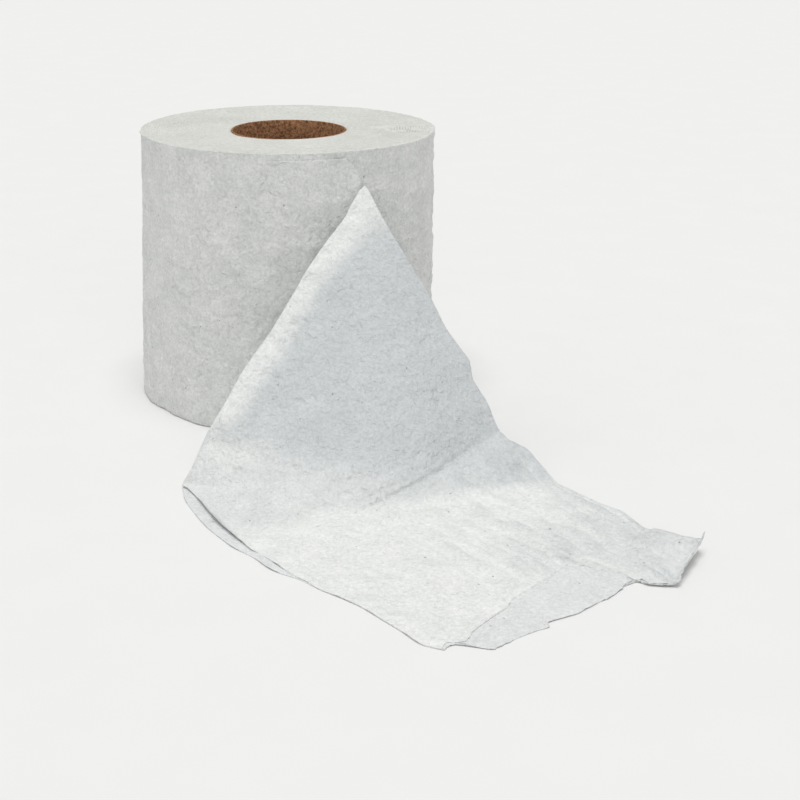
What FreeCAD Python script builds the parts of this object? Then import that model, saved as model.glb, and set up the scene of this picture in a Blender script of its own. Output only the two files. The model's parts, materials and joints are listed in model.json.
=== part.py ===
import FreeCAD, Part
import Sketcher
import math
import os

V = FreeCAD.Vector

doc = FreeCAD.newDocument("toilet_roll")

# Driving sizes, in millimetres and degrees
sizes = doc.addObject("Spreadsheet::Sheet", "Sizes")
SIZES = [
    ("roll_height", 102.0, "width of the web, so the height of the roll on its end"),
    ("roll_radius", 56.0, "outside of the last turn where the tail leaves it"),
    ("turn_step", 0.7, "how far the last turn stands off the one under it"),
    ("core_radius", 22.5, "outside of the cardboard core, inside of the paper"),
    ("core_wall", 0.75, "wall of the core"),
    ("leave_angle", -74.5, "direction from the axis to the line where the tail leaves"),
    ("edge_drop", 2.4, "how far the tail's top edge lies under the roll's rim"),
    ("tissue", 0.8, "thickness of the loose two-ply sheet, with its embossing"),
    ("turn_pitch", 5.4, "distance between the turn lines on the end faces"),
    ("turn_depth", 0.5, "depth of those lines"),
    ("turn_line", 1.1, "width of those lines at the face"),
    ("turn_count", 5, "number of lines on each end face"),
    ("turn_start", 27.0, "radius of the innermost line"),
    ("pleat_reach", 8.4, "how far past the roll the web runs before it turns back"),
    ("floor_gap", 0.05, "height of the loose sheet's underside where it lies flat"),
]
for row, (alias, value, meaning) in enumerate(SIZES, start=1):
    sizes.set("A%d" % row, meaning)
    sizes.set("B%d" % row, str(value))
    sizes.setAlias("B%d" % row, alias)
doc.recompute()


# Core: one cardboard tube, padded from a ring
core = doc.addObject("PartDesign::Body", "core_tube")
core.Label = "core_tube"
ring = core.newObject("Sketcher::SketchObject", "core_ring")
floor_plane = [f for f in core.Origin.OriginFeatures if f.Role == "XY_Plane"][0]
ring.AttachmentSupport = [(floor_plane, "")]
ring.MapMode = "FlatFace"
for name, start in (("core_outside", 22.0), ("core_inside", 21.0)):
    circle = ring.addGeometry(Part.Circle(V(0, 0, 0), V(0, 0, 1), start), False)
    ring.addConstraint(Sketcher.Constraint("Coincident", circle, 3, -1, 1))
    radius = ring.addConstraint(Sketcher.Constraint("Radius", circle, start))
    ring.renameConstraint(radius, name)
ring.setExpression("Constraints.core_outside", "Sizes.core_radius")
ring.setExpression("Constraints.core_inside", "Sizes.core_radius - Sizes.core_wall")
tube = core.newObject("PartDesign::Pad", "core_pad")
tube.Profile = ring
tube.setExpression("Length", "Sizes.roll_height")


# Wound paper: two half cylinders about slightly shifted centres make one turn of a
# spiral, which ends in a step where the tail leaves
halves = []
for name, grow, turned in (("newer_half", -0.25, 0), ("last_half", 0.25, 180)):
    half = doc.addObject("Part::Cylinder", name)
    half.Angle = 180
    half.setExpression("Height", "Sizes.roll_height")
    half.setExpression("Radius", "Sizes.roll_radius - %s * Sizes.turn_step" % (0.5 - grow))
    half.Placement = FreeCAD.Placement(V(0, 0, 0), V(0, 0, 1), turned)
    half.setExpression("Placement.Rotation.Angle", "(Sizes.leave_angle + %d) * 1 deg" % turned)
    for axis, part_of in (("x", "cos"), ("y", "sin")):
        half.setExpression(
            "Placement.Base." + axis,
            "(%s) * Sizes.turn_step * %s(Sizes.leave_angle * 1 deg)" % (grow, part_of),
        )
    halves.append(half)
wound = doc.addObject("Part::MultiFuse", "wound_block")
wound.Shapes = halves
hole = doc.addObject("Part::Cylinder", "core_hole")
hole.setExpression("Radius", "Sizes.core_radius")
hole.setExpression("Height", "Sizes.roll_height + 10")
hole.Placement = FreeCAD.Placement(V(0, 0, -5), V(0, 0, 1), 0)


# Turns on the end faces: shallow V lines around the axis, one for every few dozen turns
grooves = []
for face_height, into in ((sizes.roll_height, -1), (0.0, 1)):
    for turn in range(int(sizes.turn_count)):
        centre = sizes.turn_start + turn * sizes.turn_pitch
        half_line = sizes.turn_line / 2.0
        tip = V(centre, 0, face_height + into * sizes.turn_depth)
        near = V(centre - half_line, 0, face_height - into * 0.2)
        far = V(centre + half_line, 0, face_height - into * 0.2)
        grooves.append(Part.Face(Part.makePolygon([near, far, tip, near])))
section = doc.addObject("Part::Feature", "turn_section")
section.Shape = Part.makeCompound(grooves)
lines = doc.addObject("Part::Revolution", "turn_lines")
lines.Source = section
lines.Axis = V(0, 0, 1)
lines.Base = V(0, 0, 0)
lines.Angle = 360
lines.Solid = True
removed = doc.addObject("Part::MultiFuse", "removed")
removed.Shapes = [hole, lines]
roll = doc.addObject("Part::Cut", "wound_roll")
roll.Base = wound
roll.Tool = removed


# Tail: the loose end of the web, as a grid of points on its middle surface. Each row runs
# across the web, from the left edge (the fold, then the sheet's lower edge) to the right
# edge (the sheet's upper edge on the roll). LOW is the middle of the sheet lying flat. The
# points are laid out for a roll of the drawn size, and stretched with the roll.
LOW = sizes.floor_gap + sizes.tissue / 2 + 0.2
DRAWN_RADIUS = 56.0
DRAWN_HEIGHT = 102.0
LAID_OUT = [
    [(22.2, -52.3, 92.5), (22.9, -52.1, 92.2), (23.6, -51.9, 91.8), (24.2, -51.8, 91.3), (24.8, -51.7, 90.8)],
    [(19.5, -57.5, 79.5), (23, -58, 79.2), (26.5, -58.3, 78.8), (30, -57.8, 78.4), (33.5, -56.8, 78)],
    [(9.5, -66, 67.5), (17, -66.8, 67.5), (25, -66.5, 67.5), (33, -65, 67), (40.5, -61.8, 67)],
    [(-1, -75, 52.5), (11.5, -76, 54.5), (24, -75.5, 55.5), (36.5, -73, 56), (47.5, -67, 56)],
    [(-13, -85.5, 37.5), (4, -87.5, 40.5), (20.5, -87, 43), (37.5, -82.5, 45), (53, -71.5, 47)],
    [(-24, -94.5, 21.5), (-3, -98, 27), (18, -97.5, 32), (38.5, -90.5, 36.5), (57, -75, 39.5)],
    [(-31, -100.5, 9.5), (-8, -107, 15.5), (15.5, -107.5, 21.5), (38.5, -98.5, 28), (61.5, -78, 33)],
    [(-35, -105, 0.9), (-13, -115, 5), (13, -117.5, 11.5), (39.5, -106, 19.5), (64, -81.5, 25.5)],
    [(-29.5, -127, LOW), (-12, -130, 1.2), (13.5, -126.5, 5), (41.5, -111, 12.5), (67, -84.5, 20.5)],
    [(-17, -152, LOW), (-2, -143, LOW), (20, -132, 1.6), (46, -112.5, 6), (71, -88, 12.5)],
    [(-3, -168, LOW), (10, -154, LOW), (31, -139, LOW), (57, -117.5, 1.4), (81, -93, 5)],
    [(13.5, -185, LOW), (27, -168, LOW), (48, -148, LOW), (69.5, -129.5, LOW), (90, -111.5, 1)],
    [(24, -198, LOW), (42, -181.5, LOW), (62, -164, LOW), (83, -146, LOW), (103, -129, LOW)],
    [(33.5, -212, LOW), (52.5, -197, LOW), (74, -179, LOW), (95.5, -162.5, 0.8), (114.5, -146, 1.6)],
    [(39.5, -216, LOW), (61, -209, LOW), (85, -190.5, LOW), (108, -179.5, 1.2), (125.5, -151.5, 4.5)],
]
FOLD_ROWS = 8


def risen(height):
    """A height of the layout, stretched to the roll's height."""
    return LOW + (height - LOW) * sizes.roll_height / DRAWN_HEIGHT


wide = sizes.roll_radius / DRAWN_RADIUS
TAIL = [[(x * wide, y * wide, risen(z)) for x, y, z in row] for row in LAID_OUT]


def between(points, at):
    """A point on the smooth curve through points, at 0 for the first and 1 for the last."""
    place = at * (len(points) - 1)
    i = min(int(place), len(points) - 2)
    f = place - i
    a, b = points[i], points[i + 1]
    slope_a = (b - points[max(i - 1, 0)]) * 0.4
    slope_b = (points[min(i + 2, len(points) - 1)] - a) * 0.4
    rise = 3 * f**2 - 2 * f**3
    bend = slope_a * (f**3 - 2 * f**2 + f) + slope_b * (f**3 - f**2)
    return a * (1 - rise) + b * rise + bend


def grid_of(rows, along, across):
    """Points on the surface through rows, in along steps one way and across the other."""
    rows = [[V(*p) for p in row] for row in rows]
    fine = [[between(row, j / across) for j in range(across + 1)] for row in rows]
    columns = list(zip(*fine))
    return [[between(column, i / along) for column in columns] for i in range(along + 1)]


def skin(grid, offset):
    """The grid moved along its own normals, and kept over the floor."""
    moved = []
    for i, row in enumerate(grid):
        above, below = grid[max(i - 1, 0)], grid[min(i + 1, len(grid) - 1)]
        line = []
        for j, point in enumerate(row):
            over = row[min(j + 1, len(row) - 1)] - row[max(j - 1, 0)]
            place = point + over.cross(below[j] - above[j]).normalize() * offset
            place.z = max(place.z, sizes.floor_gap)
            line.append(place)
        moved.append(line)
    return moved


def plate(grid):
    """A closed solid of the tissue's thickness about a grid of points, in flat facets."""
    top, base = skin(grid, sizes.tissue / 2), skin(grid, -sizes.tissue / 2)
    corners = []
    for i in range(len(grid) - 1):
        for j in range(len(grid[0]) - 1):
            corners.append([top[i][j], top[i + 1][j], top[i + 1][j + 1], top[i][j + 1]])
            corners.append([base[i][j], base[i][j + 1], base[i + 1][j + 1], base[i + 1][j]])
        corners.append([top[i][0], base[i][0], base[i + 1][0], top[i + 1][0]])
        corners.append([top[i + 1][-1], base[i + 1][-1], base[i][-1], top[i][-1]])
    for j in range(len(grid[0]) - 1):
        corners.append([top[0][j + 1], base[0][j + 1], base[0][j], top[0][j]])
        corners.append([top[-1][j], base[-1][j], base[-1][j + 1], top[-1][j + 1]])
    facets = []
    for a, b, c, d in corners:
        facets.append(Part.Face(Part.makePolygon([a, b, c, a])))
        facets.append(Part.Face(Part.makePolygon([a, c, d, a])))
    shell = Part.makeShell(facets)
    shell.sewShape()
    solid = Part.makeSolid(shell)
    if solid.Volume < 0:
        solid.reverse()
    return solid


def off_the_roll(distance, height):
    """A point on the straight that the web takes where it leaves the roll."""
    leave = math.radians(sizes.leave_angle)
    x = sizes.roll_radius * math.cos(leave) - distance * math.sin(leave)
    y = sizes.roll_radius * math.sin(leave) + distance * math.cos(leave)
    return (x, y, height)


# Web leaving the roll: its free edge slopes from the web's top corner to the fold's tip.
# Each height has the share of the pleat's reach that the web runs to there.
web_top = sizes.roll_height - sizes.edge_drop
root = -1.5
leaving_rows = []
for height, share in ((web_top, 0.77), (risen(89.5), 1.13), (risen(45.0), 1.1), (LOW, 1.07)):
    end = share * sizes.pleat_reach
    leaving_rows.append([off_the_roll(at, height) for at in (root, (root + end) / 2, end)])
leaving = doc.addObject("Part::Feature", "tail_leaving")
leaving.Shape = plate(grid_of(leaving_rows, 9, 4))

# Pleat: the hidden layer from there forward to the fold
pleat_rows = []
for row in TAIL[:FOLD_ROWS]:
    fold = row[0]
    back = off_the_roll(sizes.pleat_reach, fold[2])
    middle = tuple((p + q) / 2 for p, q in zip(back, fold))
    pleat_rows.append([back, middle, fold])
pleat = doc.addObject("Part::Feature", "tail_pleat")
pleat.Shape = plate(grid_of(pleat_rows, 14, 5))

# Drape: from the tip of the fold down the ramp and out over the floor to the torn end
drape = doc.addObject("Part::Feature", "tail_drape")
drape.Shape = plate(grid_of(TAIL, 28, 8))

web = doc.addObject("Part::MultiFuse", "paper_web")
web.Label = "paper_web"
web.Shapes = [roll, leaving, pleat, drape]
doc.recompute()


# Check every object, then write the two sub-parts
for item in doc.Objects:
    if "Invalid" in item.State or "Error" in item.State:
        raise RuntimeError("%s did not recompute: %s" % (item.Name, item.State))
for item in (core, web):
    if item.Shape.isNull() or not item.Shape.isValid() or len(item.Shape.Solids) != 1:
        raise RuntimeError("%s is not one valid solid" % item.Label)
if web.Shape.Volume < roll.Shape.Volume:
    raise RuntimeError("the tail and the roll did not fuse")
os.makedirs("parts", exist_ok=True)
for item in (core, web):
    item.Shape.exportStep("parts/%s.step" % item.Label)
    print(item.Label, round(item.Shape.Volume), "mm3")
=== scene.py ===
import json
import math

import bmesh
import bpy
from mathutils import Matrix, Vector, noise


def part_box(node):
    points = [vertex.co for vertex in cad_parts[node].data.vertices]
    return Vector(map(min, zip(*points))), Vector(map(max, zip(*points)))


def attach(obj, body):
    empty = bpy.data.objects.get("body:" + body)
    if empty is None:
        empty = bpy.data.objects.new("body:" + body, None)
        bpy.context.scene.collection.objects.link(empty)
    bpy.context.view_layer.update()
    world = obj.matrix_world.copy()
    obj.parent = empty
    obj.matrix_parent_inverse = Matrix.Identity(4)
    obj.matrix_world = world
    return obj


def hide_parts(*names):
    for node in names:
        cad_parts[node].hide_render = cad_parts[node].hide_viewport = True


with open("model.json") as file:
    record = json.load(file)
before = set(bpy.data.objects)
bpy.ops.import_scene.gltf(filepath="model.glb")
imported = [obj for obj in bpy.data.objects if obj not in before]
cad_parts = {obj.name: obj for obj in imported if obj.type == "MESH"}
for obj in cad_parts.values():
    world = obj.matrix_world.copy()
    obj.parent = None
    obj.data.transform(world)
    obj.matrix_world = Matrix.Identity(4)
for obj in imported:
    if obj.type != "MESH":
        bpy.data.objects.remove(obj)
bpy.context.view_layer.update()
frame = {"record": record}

MM = 0.001

# Sizes of the roll, from the frame
core_low, core_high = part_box("core_tube")
ROLL_HEIGHT = core_high[2]
CORE_RADIUS = core_high[0]
BORE_RADIUS = next(
    m["dims"]["r_mm"] * MM for m in frame["record"]["mounts"] if m["name"] == "core_bore"
)
ROLL_RADIUS = 56.0 * MM
LEAVE_ANGLE = math.radians(-74.5)

# Sizes of the paper: the step at the web's edge on the roll, how far that edge has slipped
# down from the rim, the tail's plies, the web's width, and how far the top face dips
TURN_STEP = 0.7 * MM
EDGE_DROP = 2.4 * MM
TOP_PLY = 0.16 * MM
LOWER_PLY = 0.10 * MM
WEB_WIDTH = 102 * MM
FACE_DISH = 0.8 * MM

# How far an end face lies behind the edges of its turns, in millimetres
FACE_SUNK = 0.12
# The lowest that the tail's middle surface comes to the floor, and from ply to ply
LOWEST = 0.30 * MM
PLY_GAP = 0.22 * MM
# The perforation: a dip in the sheet, and how deep its slits sit in the upper face
SLIT_DIP = 0.04 * MM
SLIT_SINK = 0.02 * MM
# Bumps of the embossing on the roll, from broad to fine
SWELL, BUMP, FINE_BUMP = 8.5 * MM, 5.4 * MM, 2.9 * MM


# Materials
def linear(hex_colour):
    """An sRGB hex colour as the linear red, green, blue, alpha that a socket takes."""
    parts = [int(hex_colour[i : i + 2], 16) / 255 for i in (0, 2, 4)]
    return [c / 12.92 if c <= 0.04045 else ((c + 0.055) / 1.055) ** 2.4 for c in parts] + [1]


def add_node(tree, kind, links=None, **settings):
    """A node of that kind, with its settings. links gives its sockets, by name, or by number
    where names repeat: a colour mix takes 6 and 7 and gives output 2, and a map range runs
    from 1 and 2 to 3 and 4."""
    node = tree.nodes.new(kind)
    for key, value in settings.items():
        setattr(node, key, value)
    for socket, value in (links or {}).items():
        if isinstance(value, bpy.types.Node):
            value = value.outputs[0]
        if isinstance(value, bpy.types.NodeSocket):
            tree.links.new(value, node.inputs[socket])
        else:
            node.inputs[socket].default_value = value
    return node


def new_material(name):
    """An empty material, and its tree."""
    material = bpy.data.materials.new(name)
    material.use_nodes = True
    material.node_tree.nodes.clear()
    return material, material.node_tree


def finish_material(tree, shader_sockets):
    """Ends a material in one shader with those sockets."""
    shader = add_node(tree, "ShaderNodeBsdfPrincipled", shader_sockets)
    add_node(tree, "ShaderNodeOutputMaterial", {"Surface": shader})


def add_up(tree, layers, start=0.0):
    """The sum of the layers, each times its share, on top of start."""
    for layer, share in layers:
        sockets = {0: layer, 1: share, 2: start}
        start = add_node(tree, "ShaderNodeMath", sockets, operation="MULTIPLY_ADD")
    return start


def cloudy_tone(tree, fine, fine_share, coarse, span, dark, light):
    """A colour from dark to light, by a fine and a coarse noise added up, over that span."""
    both = add_up(tree, ((fine, fine_share), (coarse, 1 - fine_share)))
    share = add_node(tree, "ShaderNodeMapRange", {"Value": both, 1: span[0], 2: span[1]})
    sockets = {"Factor": share, 6: linear(dark), 7: linear(light)}
    return add_node(tree, "ShaderNodeMix", sockets, data_type="RGBA").outputs[2]


# Light sinks a little way into loose fibre
PAPER_DEPTH = {
    "Subsurface Weight": 0.08,
    "Subsurface Radius": (1.0, 1.0, 1.0),
    "Subsurface Scale": 0.6 * MM,
}


def tissue_material(name, light, shade, fleck, emboss, crepe):
    """Creped and embossed tissue. Its fibre takes light softly and evenly, with faint clouds
    where it is thicker, a fine grain of creping, pressed dots and arcs, and a few dark fibre
    specks. Shade is painted in where the sheet hangs free: a bluish grey multiplied into its
    colour stands in for the light lost through the thin sheet.
    emboss and crepe are heights of the relief in millimetres."""
    material, tree = new_material(name)
    place = add_node(tree, "ShaderNodeTexCoord").outputs["Object"]
    web = add_node(tree, "ShaderNodeUVMap", uv_map="web").outputs[0]
    # Noise layers: scale in features per metre, detail, roughness and distortion
    layers = []
    for scale, detail, roughness, distortion in (
        (95.0, 3.0, 0.6, 0.0),  # clouds of 10 mm
        (1050.0, 2.0, 0.6, 0.0),  # grain of 1 mm, coarser than real fibre so that it shows
        (640.0, 4.0, 0.65, 0.6),  # creping of 1.5 mm and finer; real ridges are 0.2 mm apart
        (80.0, 1.0, 0.5, 0.0),  # patches of 12 mm where dots are pressed
        (190.0, 1.0, 0.5, 0.4),  # bends of 5 mm; their middle level makes the arcs
        (270.0, 0.0, 0.5, 0.0),  # gaps of 4 mm that part the arcs
    ):
        sockets = {"Vector": place, "Scale": scale, "Detail": detail}
        sockets |= {"Roughness": roughness, "Distortion": distortion}
        layers.append(add_node(tree, "ShaderNodeTexNoise", sockets))
    clouds, grain, ridges, patches, bends, parted = layers
    tone = cloudy_tone(tree, grain, 0.62, clouds, (0.36, 0.64), shade, light)
    # Specks up to 0.9 mm across, about one in every 20 mm each way. The real ones are finer.
    cells = add_node(
        tree, "ShaderNodeTexVoronoi", {"Vector": web, "Scale": 130.0}, voronoi_dimensions="2D"
    )
    chance = add_node(tree, "ShaderNodeSeparateColor", {"Color": cells.outputs["Color"]})
    rare = add_node(tree, "ShaderNodeMath", {0: chance, 1: 0.85}, operation="GREATER_THAN")
    reach = add_up(tree, [(chance.outputs[1], 0.034)], 0.026)
    near = add_node(
        tree,
        "ShaderNodeMapRange",
        {"Value": cells.outputs["Distance"], 1: 0.012, 2: reach, 3: 0.7, 4: 0.0},
    )
    spot = add_node(tree, "ShaderNodeMath", {0: rare, 1: near}, operation="MULTIPLY")
    tone = add_node(
        tree, "ShaderNodeMix", {"Factor": spot, 6: tone, 7: linear(fleck)}, data_type="RGBA"
    )
    # Painted shade: where the sheet hangs free, a bluish grey is multiplied into the colour, for
    # the light lost through the thin sheet
    free = add_node(tree, "ShaderNodeAttribute", attribute_name="painted_shade_where_free").outputs["Fac"]
    tone = add_node(
        tree,
        "ShaderNodeMix",
        {"Factor": free, 6: tone.outputs[2], 7: linear("dadde1")},
        data_type="RGBA",
        blend_type="MULTIPLY",
    )
    # Embossing: pressed dots, 3.3 mm apart and 1 to 3.5 mm across, in clusters
    sockets = {"Vector": place, "Scale": 300.0, "Randomness": 0.9}
    dots = add_node(tree, "ShaderNodeTexVoronoi", sockets, feature="SMOOTH_F1")
    sockets = {"Value": dots.outputs["Distance"], 1: 0.12, 2: 0.55}
    dot = add_node(tree, "ShaderNodeMapRange", sockets, interpolation_type="SMOOTHSTEP")
    cluster = add_node(
        tree, "ShaderNodeMapRange", {"Value": patches, 1: 0.42, 2: 0.62, 3: 0.2, 4: 1.0}
    )
    # Pressed arcs: curved lines, a few millimetres long
    level = add_node(tree, "ShaderNodeMath", {0: bends, 1: 0.5}, operation="SUBTRACT")
    level = add_node(tree, "ShaderNodeMath", {0: level}, operation="ABSOLUTE")
    arc = add_node(
        tree, "ShaderNodeMapRange", {"Value": level, 1: 0.0, 2: 0.085, 3: 1.0, 4: 0.0}
    )
    parts = add_node(tree, "ShaderNodeMapRange", {"Value": parted, 1: 0.46, 2: 0.60})
    arc = add_node(tree, "ShaderNodeMath", {0: arc, 1: parts}, operation="MULTIPLY")
    dot = add_node(tree, "ShaderNodeMath", {0: dot, 1: cluster}, operation="MULTIPLY")
    relief = ((dot, emboss), (arc, -0.5 * emboss), (ridges, crepe), (grain, 0.5 * crepe))
    sockets = {"Height": add_up(tree, relief), "Strength": 1.0, "Distance": 1.0 * MM}
    bump = add_node(tree, "ShaderNodeBump", sockets)
    finish_material(
        tree,
        {
            "Base Color": tone.outputs[2],
            "Roughness": 0.9,
            "Specular IOR Level": 0.15,
            "Sheen Weight": 0.1,
            "Sheen Roughness": 0.6,
            "Normal": bump,
            **PAPER_DEPTH,
        },
    )
    return material


def fibre_material(name, fine, coarse, fine_share, span, colours, bump, sockets):
    """A matte material of two layers of fibre noise, each given by its scale in features per
    metre, detail and roughness. bump is its strength, and its height in millimetres."""
    material, tree = new_material(name)
    place = add_node(tree, "ShaderNodeTexCoord").outputs["Object"]
    layers = []
    for scale, detail, roughness in (fine, coarse):
        given = {"Vector": place, "Scale": scale, "Detail": detail, "Roughness": roughness}
        layers.append(add_node(tree, "ShaderNodeTexNoise", given))
    tone = cloudy_tone(tree, layers[0], fine_share, layers[1], span, *colours)
    raised = {"Height": layers[0], "Strength": bump[0], "Distance": bump[1] * MM}
    normal = add_node(tree, "ShaderNodeBump", raised)
    finish_material(tree, {"Base Color": tone, "Normal": normal, **sockets})
    return material


def plain_material(name, colour, roughness, specular):
    """A matte surface with faint clouds of 25 mm, for the floor and the shade in the slits."""
    material, tree = new_material(name)
    place = add_node(tree, "ShaderNodeTexCoord").outputs["Object"]
    drift = add_node(tree, "ShaderNodeTexNoise", {"Vector": place, "Scale": 40.0, "Detail": 2.0})
    sockets = {"Factor": drift, 6: linear(colour[0]), 7: linear(colour[1])}
    tone = add_node(tree, "ShaderNodeMix", sockets, data_type="RGBA").outputs[2]
    sockets = {"Base Color": tone, "Roughness": roughness, "Specular IOR Level": specular}
    finish_material(tree, sockets)
    return material


ROLL_TISSUE = tissue_material("creped_tissue_roll", "f1f2f1", "d9dbd9", "5c5b58", 0.54, 0.76)
TAIL_TISSUE = tissue_material("creped_tissue_tail", "fcfdfb", "ebedea", "5c5b58", 0.40, 0.66)
UNDER_TISSUE = tissue_material("creped_tissue_under_ply", "eff1f1", "dddfdf", "8a8a88", 0.14, 0.50)
# The cut edges of the turns: duller and yellower than the flat of the web, because light
# sinks in between them, with fuzz of 1.3 mm and finer, which is coarser than real fibre ends
CUT_ENDS = fibre_material(
    "cut_tissue_ends",
    (760.0, 4.0, 0.75),
    (70.0, 3.0, 0.6),
    0.8,
    (0.36, 0.64),
    ("cecfc9", "e7e8e3"),
    (0.8, 0.3),
    {"Roughness": 0.95, "Specular IOR Level": 0.1, **PAPER_DEPTH},
)
# Recycled spiral-wound board: brown and matte, with darker and redder fibre in flecks of
# 1 mm and finer, over a mottle of 4 mm
CORE_BOARD = fibre_material(
    "recycled_core_board",
    (1000.0, 4.0, 0.75),
    (260.0, 3.0, 0.6),
    0.82,
    (0.38, 0.62),
    ("5c3f2b", "c29069"),
    (0.6, 0.25),
    {"Roughness": 0.88, "Specular IOR Level": 0.2},
)
SLIT_SHADE = plain_material("perforation_slits_in_shade", ("c8cbca", "d4d7d6"), 0.9, 0.1)


# Meshes from grids
def put_in_scene(name, data):
    """A new object of that data, in the scene."""
    made = bpy.data.objects.new(name, data)
    bpy.context.scene.collection.objects.link(made)
    return made


class Patchwork:
    """Collects grids of points, with their place on the web, and makes one mesh of them."""

    def __init__(self):
        self.points, self.faces, self.web, self.slots, self.free = [], [], [], [], []

    def add(self, rows, web, slot=0, free=None):
        """rows[i][j] are points, web[i][j] their (along, across) on the web, in metres, and
        free[i][j] how much painted shade goes there, from 0 to 1, for how far the sheet hangs
        free."""
        first, wide = len(self.points), len(rows[0])
        for row in free or [[0.0] * wide] * len(rows):
            self.free.extend(row)
        for row, web_row in zip(rows, web):
            self.points.extend(row)
            self.web.extend(web_row)
        for i in range(len(rows) - 1):
            for j in range(wide - 1):
                a = first + i * wide + j
                self.faces.append((a, a + 1, a + 1 + wide, a + wide))
                self.slots.append(slot)

    def make(self, name, materials, weld=0.004 * MM):
        """The piece, with points closer than weld made one."""
        mesh = bpy.data.meshes.new(name)
        mesh.from_pydata([tuple(p) for p in self.points], [], self.faces)
        layer = mesh.uv_layers.new(name="web")
        for polygon, slot in zip(mesh.polygons, self.slots):
            polygon.material_index = slot
            polygon.use_smooth = True
            for corner in polygon.loop_indices:
                layer.data[corner].uv = self.web[mesh.loops[corner].vertex_index]
        for material in materials:
            mesh.materials.append(material)
        # The painted shade goes to the mesh as an attribute, which the tissue materials read
        if any(self.free):
            layer = mesh.attributes.new("painted_shade_where_free", "FLOAT", "POINT")
            layer.data.foreach_set("value", self.free)
        shape = bmesh.new()
        shape.from_mesh(mesh)
        bmesh.ops.remove_doubles(shape, verts=shape.verts, dist=weld)
        bmesh.ops.dissolve_degenerate(shape, edges=shape.edges, dist=weld / 4)
        bmesh.ops.recalc_face_normals(shape, faces=shape.faces)
        shape.to_mesh(mesh)
        shape.free()
        return put_in_scene(name, mesh)


def ripple(point, size, seed=0.0):
    """Smooth noise from about -1 to 1, with bumps of about that size in metres."""
    x, y, z = point
    return 1.6 * noise.noise((x / size + seed, y / size + 1.7 * seed, z / size - 0.6 * seed))


def pillows(point, size, seed=0.0):
    """Noise of about that size with round bumps and sharp valleys, as embossing leaves them."""
    return abs(ripple(point, size, seed)) - 0.3


def smooth_step(low, high, value):
    """From 0 at low to 1 at high, with no kink at either."""
    t = min(max((value - low) / (high - low), 0.0), 1.0)
    return t * t * (3 - 2 * t)


def bell(value, centre, width):
    """1 at the centre, and nearly 0 at two widths from it."""
    return math.exp(-(((value - centre) / width) ** 2))


# Wound roll
def turned_since_leave(angle):
    """How far round from the line where the tail leaves, as a share of a full turn."""
    return ((angle - LEAVE_ANGLE) % math.tau) / math.tau


def wall_radius(angle, height):
    """The roll's outside: a slow spiral, a little wider at the lower left, pressed by the
    embossing, uneven at the foot and flared at the rim."""
    radius = ROLL_RADIUS - 0.3 * MM - 0.5 * TURN_STEP * (1 - turned_since_leave(angle))
    level = height / ROLL_HEIGHT
    radius += (1.4 - 2.7 * level) * MM * max(0.0, -math.cos(angle)) ** 1.5
    at = (math.cos(angle) * radius, math.sin(angle) * radius, height)
    right = 1.0 + 0.9 * max(0.0, math.cos(angle))
    radius += right * 0.18 * MM * ripple(at, SWELL, 9.0)
    radius += right * 0.36 * MM * pillows(at, BUMP, 1.0)
    radius += right * 0.22 * MM * pillows(at, FINE_BUMP, 4.0)
    degrees = math.degrees(math.atan2(math.sin(angle), math.cos(angle)))
    foot = 1.2 * bell(degrees, -122, 9) - 1.1 * bell(degrees, -146, 9)
    radius += foot * MM * math.exp(-height / (22 * MM))
    from_top = ROLL_HEIGHT - height
    flare = math.exp(-from_top / (1.4 * MM)) * (0.75 + 0.5 * ripple(at, 14 * MM, 2.0))
    return radius + (0.7 + 0.5 * max(0.0, -math.cos(angle))) * MM * flare


def around(angle, radius, height):
    """A point at that angle round the roll's axis."""
    return Vector((math.cos(angle) * radius, math.sin(angle) * radius, height))


def core_squash(angle):
    """How far the core and the turns next to it are pressed in, at the left of the roll."""
    return 1.5 * MM * max(0.0, -math.cos(angle)) ** 3


def face_drop(radius):
    """How far the top face lies under the rim's height: it dips towards the core."""
    return FACE_DISH * (ROLL_RADIUS - radius) / (ROLL_RADIUS - CORE_RADIUS)


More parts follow.
